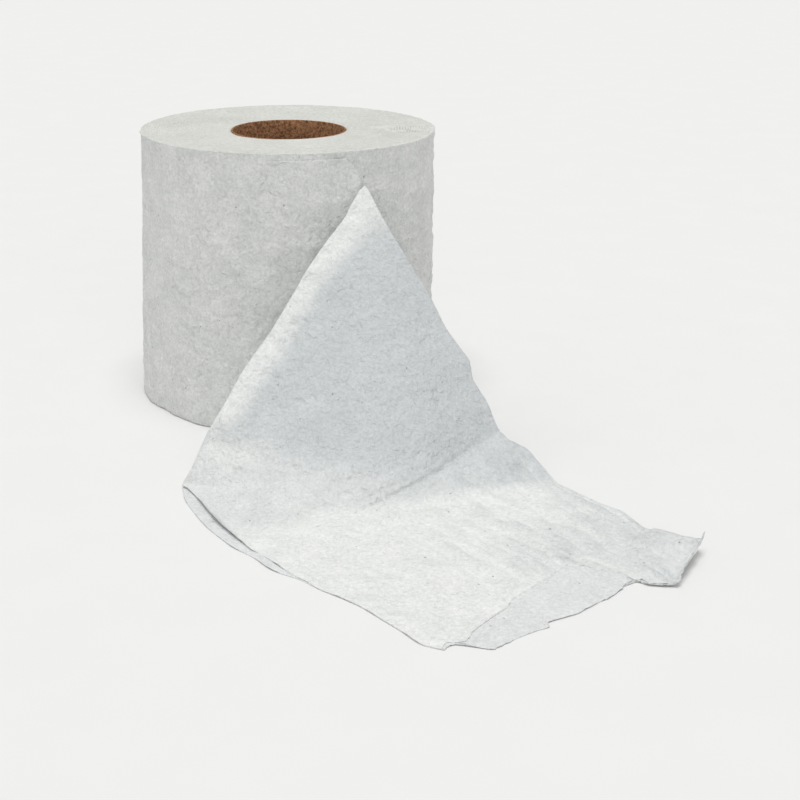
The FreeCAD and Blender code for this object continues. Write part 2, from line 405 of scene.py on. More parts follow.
def build_wound_roll():
    """Outside wall, both end faces and the lining round the core, as one closed skin."""
    steps = 480
    angles = [math.tau * j / steps for j in range(steps)]
    angles.append(angles[0])
    along = [ROLL_RADIUS * math.tau * j / steps for j in range(steps + 1)]
    heights = [0.25 * MM, 0.7 * MM]
    heights += [1.4 * MM + (ROLL_HEIGHT - 2.4 * MM) * i / 112 for i in range(113)]
    heights += [ROLL_HEIGHT - 0.55 * MM, ROLL_HEIGHT - 0.2 * MM]
    wall = []
    for height in heights:
        tuck = 0.7 * MM * math.exp(-height / (0.6 * MM))
        wall.append([around(a, wall_radius(a, height) - tuck, height) for a in angles])
    patch = Patchwork()
    patch.add(wall, [[(u, h) for u in along] for h in heights])

    # Top face, from the rim to the lip at the core
    shares = [0.0, 0.006, 0.014] + [0.03 + 0.97 * k / 32 for k in range(33)]
    top = []
    for share in shares:
        ring = []
        for angle, rim in zip(angles, wall[-1]):
            reach = math.hypot(rim.x, rim.y)
            radius = reach + (CORE_RADIUS - core_squash(angle) - reach) * share
            place = around(angle, radius, 0)
            wave = 0.12 * ripple(place, 16 * MM, 5.0) + 0.05 * ripple(place, 3.5 * MM, 6.0)
            # Turns pressed out of line on the right of the face
            side = bell(math.degrees(angle if angle < 3 else angle - math.tau), -12, 20)
            smear = ripple(place, 6 * MM, 3.0) + 0.6 * ripple(place, 2.6 * MM, 7.0)
            wave = max(wave + 0.85 * side * bell(radius / MM, 40, 10) * smear, -0.2)
            lip = -0.35 * smooth_step(0.97, 1.0, share)
            place.z = ROLL_HEIGHT - face_drop(radius) + (wave + lip - FACE_SUNK) * MM
            ring.append(rim.copy() if share == 0 else place)
        top.append(ring)
    patch.add(top, [[(p.x, p.y) for p in ring] for ring in top], slot=1)

    # Base face and lining
    base = []
    for share in (1.0, 0.6, 0.3, 0.1, 0.0):
        ring = []
        for angle, rim in zip(angles, wall[0]):
            reach = math.hypot(rim.x, rim.y)
            place = around(angle, reach + (CORE_RADIUS - reach) * share, FACE_SUNK * MM)
            ring.append(rim.copy() if share == 0 else place)
        base.append(ring)
    patch.add(base, [[(p.x, p.y) for p in ring] for ring in base], slot=1)
    middle = [around(a, CORE_RADIUS, ROLL_HEIGHT / 2) for a in angles]
    lining = [top[-1], middle, base[0]]
    patch.add(lining, [[(u, p.z) for u, p in zip(along, ring)] for ring in lining], slot=1)
    return patch.make("wound_tissue", [ROLL_TISSUE, CUT_ENDS])


# Turns on the end faces
def new_tree(name, sizes):
    """A geometry tree with those sizes and a material as named inputs, and its input sockets."""
    tree = bpy.data.node_groups.new(name, "GeometryNodeTree")
    add_socket = tree.interface.new_socket
    add_socket(name="Geometry", in_out="INPUT", socket_type="NodeSocketGeometry")
    for size, value in sizes.items():
        socket = add_socket(name=size, in_out="INPUT", socket_type="NodeSocketFloat")
        socket.default_value = value
    add_socket(name="Material", in_out="INPUT", socket_type="NodeSocketMaterial")
    add_socket(name="Geometry", in_out="OUTPUT", socket_type="NodeSocketGeometry")
    return tree, tree.nodes.new("NodeGroupInput").outputs


def winding_tree():
    """A spiral of fine ridges: the edges of the turns, as they show on an end face. A real
    roll has about 200 turns, too fine to show, so 30 are drawn."""
    sizes = {
        "Start Radius": CORE_RADIUS + 0.6 * MM,
        "End Radius": ROLL_RADIUS - 1.3 * MM,
        "Turns": 30.0,
        "Ridge Radius": 0.45 * MM,
        "Wander": 0.55 * MM,
        "Face Height": ROLL_HEIGHT,
        "Dish": FACE_DISH,
        "Seed": 3.0,
    }
    tree, given = new_tree("winding_turns", sizes)
    spiral = add_node(
        tree,
        "GeometryNodeCurveSpiral",
        {
            "Resolution": 80,
            "Rotations": given["Turns"],
            "Start Radius": given["Start Radius"],
            "End Radius": given["End Radius"],
            "Height": 0.0,
        },
    )
    # Each turn drifts a little, as pressed paper does, and follows the dished face
    sockets = {"W": given["Seed"], "Scale": 48.0, "Detail": 1.0}
    drift = add_node(tree, "ShaderNodeTexNoise", sockets, noise_dimensions="4D")
    sockets = {0: drift.outputs["Color"], 1: (0.5, 0.5, 0.5)}
    centred = add_node(tree, "ShaderNodeVectorMath", sockets, operation="SUBTRACT")
    wander = add_node(
        tree, "ShaderNodeVectorMath", {0: centred, "Scale": given["Wander"]}, operation="SCALE"
    )
    place = add_node(tree, "GeometryNodeInputPosition")
    radius = add_node(tree, "ShaderNodeVectorMath", {0: place}, operation="LENGTH")
    lower = add_node(tree, "ShaderNodeMath", {0: given["Dish"], 1: -1.0}, operation="MULTIPLY")
    dish = add_node(
        tree,
        "ShaderNodeMapRange",
        {
            "Value": radius.outputs["Value"],
            1: given["Start Radius"],
            2: given["End Radius"],
            3: lower,
            4: 0.0,
        },
    )
    sockets = {0: given["Face Height"], 1: given["Ridge Radius"]}
    level = add_node(tree, "ShaderNodeMath", sockets, operation="SUBTRACT")
    level = add_node(tree, "ShaderNodeMath", {0: level, 1: dish}, operation="ADD")
    rise = add_node(tree, "ShaderNodeCombineXYZ", {"Z": level})
    offset = add_node(tree, "ShaderNodeVectorMath", {0: wander, 1: rise}, operation="ADD")
    moved = add_node(tree, "GeometryNodeSetPosition", {"Geometry": spiral, "Offset": offset})
    sockets = {"Resolution": 6, "Radius": given["Ridge Radius"]}
    section = add_node(tree, "GeometryNodeCurvePrimitiveCircle", sockets)
    sockets = {"Curve": moved, "Profile Curve": section, "Fill Caps": True}
    ridge = add_node(tree, "GeometryNodeCurveToMesh", sockets)
    end_tree(tree, ridge, given["Material"])
    return tree


def end_tree(tree, geometry, material):
    """Ends a tree in real, smooth geometry of that material."""
    real = add_node(tree, "GeometryNodeRealizeInstances", {"Geometry": geometry})
    smooth = add_node(tree, "GeometryNodeSetShadeSmooth", {"Geometry": real})
    dressed = add_node(
        tree, "GeometryNodeSetMaterial", {"Geometry": smooth, "Material": material}
    )
    add_node(tree, "NodeGroupOutput", {"Geometry": dressed})


def grow(name, tree, values, start=None):
    """The mesh that the tree makes with those inputs, as a plain piece."""
    holder = put_in_scene(name + "_tree", start or bpy.data.meshes.new(name))
    modifier = holder.modifiers.new("grow", "NODES")
    modifier.node_group = tree
    for item in tree.interface.items_tree:
        if item.in_out == "INPUT" and item.name in values:
            modifier[item.identifier] = values[item.name]
    evaluated = holder.evaluated_get(bpy.context.evaluated_depsgraph_get())
    mesh = bpy.data.meshes.new_from_object(evaluated)
    mesh.name = name
    bpy.data.objects.remove(holder)
    return put_in_scene(name, mesh)


# Core
def build_core():
    """The board tube: a thin wall with slightly rounded rims, pressed in a little at the left."""
    patch = Patchwork()
    steps = 180
    wall = CORE_RADIUS - BORE_RADIUS
    outside = CORE_RADIUS - 0.03 * MM
    rim = ROLL_HEIGHT - FACE_DISH - 0.05 * MM
    profile = [(outside, 0.4 * MM)]
    profile += [(outside, rim * k / 4) for k in range(1, 4)]
    profile += [(outside, rim - 0.2 * MM), (CORE_RADIUS - 0.25 * wall, rim)]
    profile += [(BORE_RADIUS + 0.2 * wall, rim), (BORE_RADIUS, rim - 0.25 * MM)]
    profile += [(BORE_RADIUS, rim * k / 12) for k in range(11, 0, -1)]
    profile += [(BORE_RADIUS, 0.3 * MM), (BORE_RADIUS + 0.25 * wall, 0.05 * MM)]
    profile += [(CORE_RADIUS - 0.25 * wall, 0.05 * MM), (outside, 0.4 * MM)]
    rings, web = [], []
    for radius, height in profile:
        ring = []
        for j in range(steps + 1):
            angle = math.tau * (j % steps) / steps
            pressed = core_squash(angle) * smooth_step(0.1, 0.9, height / ROLL_HEIGHT)
            ring.append(around(angle, radius - pressed, height))
        rings.append(ring)
        web.append([(BORE_RADIUS * math.tau * j / steps, height) for j in range(steps + 1)])
    patch.add(rings, web)
    return patch.make("core_board", [CORE_BOARD])


# Tail
# Rows of points across the tail, in millimetres, from the fold or the lower edge (first)
# to the upper edge (last). LOW is the height of the sheet where it lies flat.
LOW = 0.5
TAIL = [
    [(22.2, -52.3, 92.5), (22.9, -52.1, 92.2), (23.6, -51.9, 91.8),
     (24.2, -51.8, 91.3), (24.8, -51.7, 90.8)],
    [(19.5, -57.5, 79.5), (23, -58, 79.2), (26.5, -58.3, 78.8),
     (30, -57.8, 78.4), (33.5, -56.8, 78)],
    [(9.5, -66, 67.5), (17, -66.8, 67.5), (25, -66.5, 67.5),
     (33, -65, 67), (40.5, -61.8, 67)],
    [(-1, -75, 52.5), (11.5, -76, 54.5), (24, -75.5, 55.5),
     (36.5, -73, 56), (47.5, -67, 56)],
    [(-13, -85.5, 37.5), (4, -87.5, 40.5), (20.5, -87, 43),
     (37.5, -82.5, 45), (53, -71.5, 47)],
    [(-24, -94.5, 21.5), (-3, -98, 27), (18, -97.5, 32),
     (38.5, -90.5, 36.5), (57, -75, 39.5)],
    [(-31, -100.5, 9.5), (-8, -107, 15.5), (15.5, -107.5, 21.5),
     (38.5, -98.5, 28), (61.5, -78, 33)],
    [(-35, -105, 0.9), (-13, -115, 5), (13, -117.5, 11.5),
     (39.5, -106, 19.5), (64, -81.5, 25.5)],
    [(-29.5, -127, LOW), (-12, -130, 1.2), (13.5, -126.5, 5),
     (41.5, -111, 12.5), (67, -84.5, 20.5)],
    [(-17, -152, LOW), (-2, -143, LOW), (20, -132, 1.6),
     (46, -112.5, 6), (71, -88, 12.5)],
    [(-3, -168, LOW), (10, -154, LOW), (31, -139, LOW),
     (57, -117.5, 1.4), (81, -93, 5)],
    [(13.5, -185, LOW), (27, -168, LOW), (48, -148, LOW),
     (69.5, -129.5, LOW), (90, -111.5, 1)],
    [(24, -198, LOW), (42, -181.5, LOW), (62, -164, LOW),
     (83, -146, LOW), (103, -129, LOW)],
    [(33.5, -212, LOW), (52.5, -197, LOW), (74, -179, LOW),
     (95.5, -162.5, 0.8), (114.5, -146, 1.6)],
    [(39.5, -216, LOW), (61, -209, LOW), (85, -190.5, LOW),
     (108, -179.5, 1.2), (125.5, -151.5, 4.5)],
]
LAST_ROW, LAST_COLUMN = 14, 4
FOLD_END = 7

# The same sheet's outline, point by point: the fold and then the lower edge, the upper edge,
# and the torn end from the lower edge to the upper
LEFT_EDGE = [
    (25.2, -52.5, 88.4), (22, -55.3, 83.7), (19.8, -57.1, 79.7), (16.5, -59.9, 76),
    (12.2, -63.6, 71.3), (6.1, -68.9, 63.6), (1.7, -72.6, 56.8), (-6.4, -79.5, 45.1),
    (-15.2, -87.1, 34.6), (-21.7, -92.6, 24.3), (-27.2, -97.2, 16.2), (-32.4, -101.8, 5.8),
    (-35.4, -104.3, 0.8), (-34, -115, LOW), (-30, -126.7, LOW), (-25.9, -136.6, LOW),
    (-20.5, -146.3, LOW), (-17.1, -151.8, LOW), (-11.3, -158.3, LOW), (-5.6, -167.2, LOW),
    (2.5, -173.6, LOW), (8.1, -180.1, LOW), (13.6, -185.2, LOW), (18.9, -190.7, LOW),
    (24, -197.9, LOW), (28.9, -204.8, LOW), (33.6, -212.2, LOW), (39.5, -215.6, LOW),
]
RIGHT_EDGE = [
    (28.0, -52.2, 88.6), (33.7, -56.6, 77.9), (40.4, -61.7, 67.2), (47.7, -67, 55.8),
    (51, -69.9, 49.8), (54.3, -72.9, 43.5), (59.2, -75.9, 37.2), (61.5, -77.4, 34.1),
    (62.7, -80.5, 27.9), (66.9, -83.5, 21.7), (69.4, -86.5, 15.5), (71, -88, 12.5),
    (74.5, -90.4, 9.7), (80.2, -91.6, 6.5), (82.8, -94.2, 3.9), (85.7, -98.5, 1.9),
    (87.6, -104.9, 1.0), (90.8, -113, 0.8), (96.8, -121.3, 0.8), (103.4, -129.5, 0.8),
    (106, -135, 0.8), (108.7, -143.3, 0.8), (110.2, -145.3, 1.0), (111.6, -145.7, 1.5),
    (117, -152.4, 2.5), (120, -156.4, 3.3), (122.1, -159.6, 4.0), (123.8, -158.2, 4.4),
]
TORN_END = [
    (39.5, -215.6, LOW), (42.9, -212.9, LOW), (51.2, -215.6, LOW), (53.3, -215.2, LOW),
    (57.9, -211.3, LOW), (62.8, -207.5, LOW), (68.9, -204.2, LOW), (69.4, -201.6, LOW),
    (78.5, -196.3, LOW), (85.2, -190, LOW), (88.3, -188.4, LOW), (92.5, -183.7, LOW),
    (94.4, -181.1, LOW), (99.4, -178.1, LOW), (103, -181.1, 0.8), (109.3, -182.1, 1.2),
    (111.5, -179.8, 2.2), (117.2, -169.7, 3.3), (123.8, -158.2, 4.4),
]


def between(points, place):
    """The smooth curve through points, at a place counted in points from the first."""
    i = min(max(int(place), 0), len(points) - 2)
    f = place - i
    a, b = points[i], points[i + 1]
    slope_a = (b - points[max(i - 1, 0)]) * 0.4
    slope_b = (points[min(i + 2, len(points) - 1)] - a) * 0.4
    rise = 3 * f**2 - 2 * f**3
    bend = slope_a * (f**3 - 2 * f**2 + f) + slope_b * (f**3 - f**2)
    return a * (1 - rise) + b * rise + bend


def straight(values, place):
    """The value at a place between numbered values, in straight runs."""
    i = min(max(int(place), 0), len(values) - 2)
    return values[i] + (values[i + 1] - values[i]) * (place - i)


class Outline:
    """An edge of the sheet, read by the number of the row or column of TAIL beside it."""

    def __init__(self, points, beside):
        self.points = [Vector(p) * MM for p in points]
        self.marks = []
        for number, target in enumerate(beside):
            if number in (0, len(beside) - 1):
                self.marks.append(0.0 if number == 0 else len(points) - 1.0)
                continue
            places = [k / 20 for k in range(20 * (len(points) - 1) + 1)]
            near = min(places, key=lambda q: (straight(self.points, q) - target).length)
            self.marks.append(max(near, self.marks[-1] + 0.05))

    def at(self, number):
        """The point of the edge beside that row or column."""
        return between(self.points, straight(self.marks, number))


TAIL_ROWS = [[Vector(p) * MM for p in row] for row in TAIL]
left_edge = Outline(LEFT_EDGE, [row[0] for row in TAIL_ROWS])
right_edge = Outline(RIGHT_EDGE, [row[-1] for row in TAIL_ROWS])
torn_end = Outline(TORN_END, TAIL_ROWS[-1])


class TailRow:
    """One line across the sheet's middle surface, at a row number."""

    def __init__(self, row):
        self.row = row
        self.line = [between([r[c] for r in TAIL_ROWS], row) for c in range(LAST_COLUMN + 1)]
        self.left = left_edge.at(row) - self.line[0]
        self.right = right_edge.at(row) - self.line[-1]

    def at(self, column):
        """The point at that column, drawn out to the sheet's two edges."""
        across = column / LAST_COLUMN
        return between(self.line, column) + self.left * (1 - across) + self.right * across


end_row = TailRow(LAST_ROW)


# From this row on, the sheet is drawn out to its torn end
END_BEGINS = 11.5


def sheet_point(tail_row, column):
    """A point of the smooth sheet, before its crumples and creases."""
    point = tail_row.at(column)
    # The tip is round
    tip = 1 - smooth_step(0, 0.5, tail_row.row)
    point.z += 1.1 * MM * math.sin(math.pi * column / LAST_COLUMN) * tip
    if tail_row.row > END_BEGINS:
        share = ((tail_row.row - END_BEGINS) / (LAST_ROW - END_BEGINS)) ** 2
        point += share * (torn_end.at(column) - end_row.at(column))
    return point


def grid_of(rows, columns):
    """Points on the sheet at those row and column numbers."""
    return [[sheet_point(line, c) for c in columns] for line in map(TailRow, rows)]


def normals_of(grid):
    """The upward direction of the sheet at each point of a grid."""
    found = []
    for i, row in enumerate(grid):
        above, below = grid[max(i - 1, 0)], grid[min(i + 1, len(grid) - 1)]
        line = []
        for j in range(len(row)):
            across = row[min(j + 1, len(row) - 1)] - row[max(j - 1, 0)]
            line.append((below[j] - above[j]).cross(across).normalized())
        found.append(line)
    return found


# Creases and ridges on the sheet: first row and column, last row and column, height and
# half width in millimetres
CREASES = [
    (5.60, 0.02, 6.30, 1.05, -1.25, 4.2),
    (3.30, 0.40, 3.85, 1.15, -0.34, 0.9),
    (3.45, 0.02, 4.10, 0.80, -0.36, 0.8),
    (1.55, 0.90, 2.20, 1.80, -0.50, 1.6),
    (2.20, 1.80, 2.80, 2.50, -0.50, 1.8),
    (2.90, 1.60, 4.00, 2.30, -0.30, 2.0),
    (5.00, 0.05, 5.30, 0.40, 0.22, 1.0),
    (4.40, 0.05, 4.60, 0.35, 0.20, 0.9),
    (3.95, 0.04, 4.10, 0.40, 0.24, 1.1),
    (9.28, 0.30, 9.42, 0.60, -0.55, 1.1),
    (12.75, 2.62, 13.30, 2.78, -0.50, 3.0),
    (13.30, 2.78, 14.10, 2.76, -0.70, 2.6),
    (11.60, 2.30, 13.00, 2.55, 0.25, 3.0),
    (10.60, 2.60, 12.20, 2.90, 0.28, 2.2),
    (10.90, 3.10, 12.60, 3.25, -0.24, 1.8),
    (11.60, 3.40, 13.20, 3.55, 0.22, 1.6),
    (13.55, 3.10, 13.98, 3.18, 0.25, 1.0),
]
ROW_LENGTH = 15 * MM
COLUMN_WIDTH = WEB_WIDTH / LAST_COLUMN


def crease_height(row, column):
    """How far the creases and ridges near a place lift the sheet."""
    x, y = row * ROW_LENGTH, column * COLUMN_WIDTH
    total = 0.0
    for row_a, column_a, row_b, column_b, height, width in CREASES:
        ax, ay = row_a * ROW_LENGTH, column_a * COLUMN_WIDTH
        dx, dy = row_b * ROW_LENGTH - ax, column_b * COLUMN_WIDTH - ay
        t = ((x - ax) * dx + (y - ay) * dy) / (dx * dx + dy * dy)
        if -0.3 < t < 1.3:
            off = math.hypot(x - ax - t * dx, y - ay - t * dy)
            if off < 4 * width * MM:
                fade = smooth_step(-0.3, 0.15, t) * (1 - smooth_step(0.8, 1.3, t))
                total += height * MM * fade * math.exp(-off / (0.8 * width * MM))
    return total


def crumple(row, column, place):
    """Fine unevenness of the loose sheet. It is embossed more beside the upper fold. On the
    flat part it draws out into streaks along the web, stronger towards the upper edge."""
    x, y = row * ROW_LENGTH, column * COLUMN_WIDTH
    flat = smooth_step(8.3, 10.2, row)
    beside_fold = (1 - smooth_step(4.6, 6.0, row)) * (1 - smooth_step(0.2, 1.5, column))
    drawn = flat * (0.4 + 0.6 * smooth_step(0.5, 3.0, column))
    height = 0.17 * ripple(place, 7 * MM, 1.0)
    height += (0.16 + 0.34 * beside_fold) * pillows(place, 4.0 * MM, 2.0)
    height += (0.12 + 0.14 * beside_fold) * pillows(place, 2.2 * MM, 8.0)
    streak = noise.noise((x / (11 * MM), (y + 0.18 * x) / (2.5 * MM), 4.2))
    fine = noise.noise((x / (6 * MM), (y + 0.25 * x) / (1.4 * MM), 7.9))
    height += drawn * (0.85 * streak + 0.48 * fine)
    return height * MM


def rounded(point, fold, here, other, softness):
    """A point of one leaf beside a fold, moved so that the fold is round. here and other are
    the directions of the two leaves, away from the fold."""
    s = (point - fold).length
    fade = 1 - smooth_step(1.6 * softness, 4 * softness, s)
    shift = fade * (math.sqrt(s * s + softness * softness) - s) / 2
    near = math.exp(-s / (3 * softness))
    spread = 0.5 * softness * near * fade * (here + other)
    return point + shift * here + shift * other - spread


def off_the_roll(distance, height):
    """A point on the straight that the web takes where it leaves the roll."""
    x = ROLL_RADIUS * math.cos(LEAVE_ANGLE) - distance * math.sin(LEAVE_ANGLE)
    y = ROLL_RADIUS * math.sin(LEAVE_ANGLE) + distance * math.cos(LEAVE_ANGLE)
    return Vector((x, y, height))


TIP_HEIGHT = 88.4 * MM


def web_reach(height):
    """How far past the roll the web runs before it ends or turns back, at a height."""
    if height > TIP_HEIGHT:
        risen = (height - TIP_HEIGHT) / (ROLL_HEIGHT - EDGE_DROP - TIP_HEIGHT)
        return 11.2 * MM - 5.7 * MM * risen**2.4
    return 9.0 * MM + 2.2 * MM * math.exp(-(TIP_HEIGHT - height) / (5 * MM))


def fold_softness(row):
    """The size of the visible fold's rounding, at a row."""
    wide = 1.6 * smooth_step(0.5, 4.5, row) + 2.2 * smooth_step(4.8, 5.8, row)
    return (0.7 + wide - 2.4 * smooth_step(6.6, 7.0, row)) * MM


# The upper ply's own lower edge, where it stands off the ply under it: row, then place
LIFTED_EDGE = [
    (7.0, (-35.4, -104.3, 0.8)),
    (7.15, (-33.4, -107.9, 1.2)),
    (7.55, (-27.7, -121.8, 2.2)),
    (8.05, (-22.8, -134.2, 2.8)),
    (8.45, (-18.8, -141.4, 2.3)),
    (8.8, (-15.3, -147.7, 1.5)),
    (9.1, (-12.2, -153.3, 0.8)),
    (9.35, (-9.5, -155.8, 0.5)),
    (9.75, (-5.5, -162.2, 0.5)),
    (10.15, (0.3, -170.5, 0.5)),
    (10.5, (4.6, -175.2, 0.5)),
]
# The row at which the upper ply ends, for columns 0, 0.25, 0.5 and so on
UPPER_END = [
    13.85, 13.6, 13.38, 13.25, 13.17, 13.1, 13.02, 12.95, 12.9,
    12.86, 12.86, 13.9, 14, 14, 14, 14, 14,
]


def lifted_edge(row):
    """The point of that edge at a row, or None where the plies lie together."""
    for (row_a, a), (row_b, b) in zip(LIFTED_EDGE, LIFTED_EDGE[1:]):
        if row_a <= row <= row_b:
            return Vector(a).lerp(Vector(b), (row - row_a) / (row_b - row_a)) * MM
    return None


def upper_end(column):
    """The row at which the upper ply ends, with its edge ragged by up to a quarter of a mm."""
    place = (0, column * COLUMN_WIDTH, 0)
    ragged = ripple(place, 2.6 * MM, 3.0) + 0.6 * ripple(place, 1.1 * MM, 5.0)
    return straight(UPPER_END, column * 4) + 0.25 * MM * ragged / ROW_LENGTH


def corner_curl(row, column):
    """How far the far corner's end turns up."""
    share = smooth_step(13.72, 14.0, row) * smooth_step(3.0, 3.35, column)
    return Vector((-0.5, 0.4, 1.3)) * MM * share


def painted_shade_where_free(row, column, point, from_fold, rise):
    """Painted shade for the thin sheet, from 0 to 1, by how far it is from having the floor or
    another layer right behind it: darker to the right, lighter where the sheet lies doubled
    beside the fold, and darker where crumples and ridges raise it and at the lifted far end.
    Right of the pleat it lifts off the floor within 2 mm; the pleat holds it off sooner."""
    beside_pleat = (1 - smooth_step(1.3, 2.0, column)) * (1 - smooth_step(8.1, 8.9, row))
    sooner = 0.55 + smooth_step(3.0, 3.8, column)
    off_floor = max(smooth_step(0.6 * MM, 2.1 * MM, point.z * sooner), beside_pleat)
    off_floor *= 1 - smooth_step(11.0, 12.5, row)
    low = off_floor * (0.42 + 0.24 * smooth_step(1.8, 3.3, column))
    free = low + (1 - low) * smooth_step(5 * MM, 20 * MM, point.z)
    free *= smooth_step(0.1, 2.4, row) * (0.82 + 0.3 * column / LAST_COLUMN)
    doubled = (1 - smooth_step(3 * MM, 15 * MM, from_fold)) * (1 - smooth_step(4.9, 5.7, row))
    far_end = smooth_step(1.5, 3.2, column) * smooth_step(11.2, 12.2, row)
    upper_part = 1 - smooth_step(4.0, 6.0, row)
    # Painted shade added on top: a little everywhere, more at the top rows and the lifted far end,
    # and more where crumples and ridges raise the sheet
    painted_shade_added = 0.05 + 0.07 * upper_part + 0.45 * far_end + 0.42 * rise / MM
    return min(max(free * (1 - doubled) + painted_shade_added, 0.0), 1.0)


# Points along and across the tail
DOWN_FOLD, DOWN_FLAT, ACROSS = 118, 122, 128
ROWS_ABOVE_TIP = 14
WRAP_STEPS, STRAIGHT_STEPS, PLEAT_STEPS = 52, 12, 24
# How far back round the roll the tail sheet lies on it
WRAP_BACK = math.radians(38)


def web_off_the_roll(folds):
    """The web from the roll to the hidden fold, in rows from the top down: first above the
    tip of the visible fold, then level with each point of it."""
    top = ROLL_HEIGHT - EDGE_DROP
    heights = [top - (top - TIP_HEIGHT) * i / ROWS_ABOVE_TIP for i in range(ROWS_ABOVE_TIP)]
    heights += [p.z for p in folds]
    rows, web = [], []
    for height in heights:
        reach = web_reach(height)
        line, web_line = [], []
        for j in range(WRAP_STEPS + 1):
            back = WRAP_BACK * (1 - j / WRAP_STEPS)
            angle = LEAVE_ANGLE - back
            stand = 0.22 - 0.60 * smooth_step(math.radians(8), math.radians(36), back)
            line.append(around(angle, wall_radius(angle, height) + stand * MM, height))
            web_line.append((-back * ROLL_RADIUS, height))
        gap = line[-1] - off_the_roll(0, height)
        for j in range(1, STRAIGHT_STEPS + 1):
            distance = reach * j / STRAIGHT_STEPS
            line.append(off_the_roll(distance, height) + gap * (1 - j / STRAIGHT_STEPS) ** 2)
            web_line.append((distance, height))
        rows.append(line)
        web.append(web_line)
    return rows, web


def pleat_between(strip, ramp, fold_rows):
    """The hidden pleat, from the web's turn forward to the visible fold. The points of the
    strip and of the ramp beside it are moved with it, so that both folds are round."""
    back_way = (off_the_roll(0, 0) - off_the_roll(1, 0)).normalized()
    pleat, web = [], []
    for row, leaving, line in zip(fold_rows, strip[ROWS_ABOVE_TIP:], ramp):
        fold, hidden = line[0], leaving[-1].copy()
        leaf = fold - hidden
        soft = min(0.9 * MM, leaf.length / 4)
        if leaf.length > 1e-6:
            leaf.normalize()
        for j in range(WRAP_STEPS + 1, len(leaving)):
            leaving[j] = rounded(leaving[j], hidden, back_way, leaf, soft)
        ramp_way = (line[6] - fold).normalized()
        softness = min(fold_softness(row), (fold - hidden).length / 3)
        layer = []
        for j in range(PLEAT_STEPS + 1):
            point = hidden.lerp(fold, (j / PLEAT_STEPS) ** 0.85)
            point = rounded(point, hidden, leaf, back_way, soft)
            layer.append(rounded(point, fold, leaf * -1, ramp_way, softness))
        # The leaves meet on the folds themselves
        layer[0], layer[-1] = leaving[-1].copy(), fold.copy()
        pleat.append(layer)
        web.append([(0.01 + 0.0006 * j, fold.z) for j in range(PLEAT_STEPS + 1)])
        for j in range(1, len(line)):
            line[j] = rounded(line[j], fold, ramp_way, leaf * -1, softness)
    return pleat, web


def flat_part(columns):
    """Rows from the fold's end to where the upper ply is torn, and their row numbers."""
    ends = [upper_end(column) for column in columns]
    points, numbers = [], []
    for i in range(1, DOWN_FLAT + 1):
        places = [FOLD_END + (end - FOLD_END) * (i / DOWN_FLAT) for end in ends]
        lines = {key: TailRow(key) for key in {round(place, 4) for place in places}}
        points.append([sheet_point(lines[round(p, 4)], c) for p, c in zip(places, columns)])
        numbers.append(places)
    return points, numbers


def crumple_sheet(sheet, numbers, columns):
    """Moves the sheet's points by its crumples, creases and lifted edges. Gives back the
    painted shade at each of them, for how far it hangs free."""
    normals = normals_of(sheet)
    free = []
    for i, line in enumerate(sheet):
        fold, painted_shade_line = line[0].copy(), []
        lifted = lifted_edge(numbers[i][0])
        edge = left_edge.at(numbers[i][0])
        for j, point in enumerate(line):
            row, column = numbers[i][j], columns[j]
            calm = smooth_step(0.0, 0.16, column) if row < FOLD_END + 0.4 else 1.0
            calm *= 0.35 + 0.65 * smooth_step(0.0, 0.8, row)
            rise = (crumple(row, column, point) + crease_height(row, column)) * calm
            rise -= SLIT_DIP * bell(row, perforation_row(column), 0.04)
            moved = point + normals[i][j] * rise
            painted_shade_line.append(painted_shade_where_free(row, column, point, (point - fold).length, rise))
            if lifted is not None and column < 0.7:
                moved += (lifted - edge) * (1 - column / 0.7) ** 2
            moved += corner_curl(row, column)
            if row > FOLD_END:
                moved.z = max(moved.z, LOWEST)
                # Towards the far side the end is pressed flat into the ply below
                share = (i - DOWN_FOLD) / DOWN_FLAT
                pressed = smooth_step(1.1, 1.9, column) * (1 - smooth_step(2.72, 2.9, column))
                moved.z -= PLY_GAP * pressed * smooth_step(0.972, 0.992, share)
            line[j] = moved
        free.append(painted_shade_line)
    return free


def thicken(piece, name, thickness):
    """Gives a sheet its thickness, half on each side."""
    thick = piece.modifiers.new(name, "SOLIDIFY")
    thick.thickness = thickness
    thick.offset = 0.0
    return piece


def build_tail_sheet():
    """The web's loose end, upper ply on top: wrap on the roll, straight, pleat, ramp and flat
    part, as one sheet."""
    patch = Patchwork()
    columns = [LAST_COLUMN * (j / ACROSS) ** 1.12 for j in range(ACROSS + 1)]
    fold_rows = [FOLD_END * i / DOWN_FOLD for i in range(DOWN_FOLD + 1)]
    ramp = grid_of(fold_rows, columns)
    strip, strip_web = web_off_the_roll([line[0] for line in ramp])
    pleat, pleat_web = pleat_between(strip, ramp, fold_rows)
    for grid in (strip, pleat, ramp):
        for line in grid:
            for point in line:
                point.z = max(point.z, LOWEST)
    patch.add(strip, strip_web, slot=1)
    patch.add(pleat, pleat_web)
    flat, flat_numbers = flat_part(columns)
    sheet = ramp + flat
    numbers = [[row] * len(columns) for row in fold_rows] + flat_numbers
    web = []
    for line in numbers:
        web.append([(row * ROW_LENGTH, c * COLUMN_WIDTH) for row, c in zip(line, columns)])
    # free carries the painted shade for where the sheet hangs free
    patch.add(sheet, web, free=crumple_sheet(sheet, numbers, columns))
    piece = patch.make("tail_sheet", [TAIL_TISSUE, ROLL_TISSUE], weld=0.02 * MM)
    return thicken(piece, "two_plies", TOP_PLY)


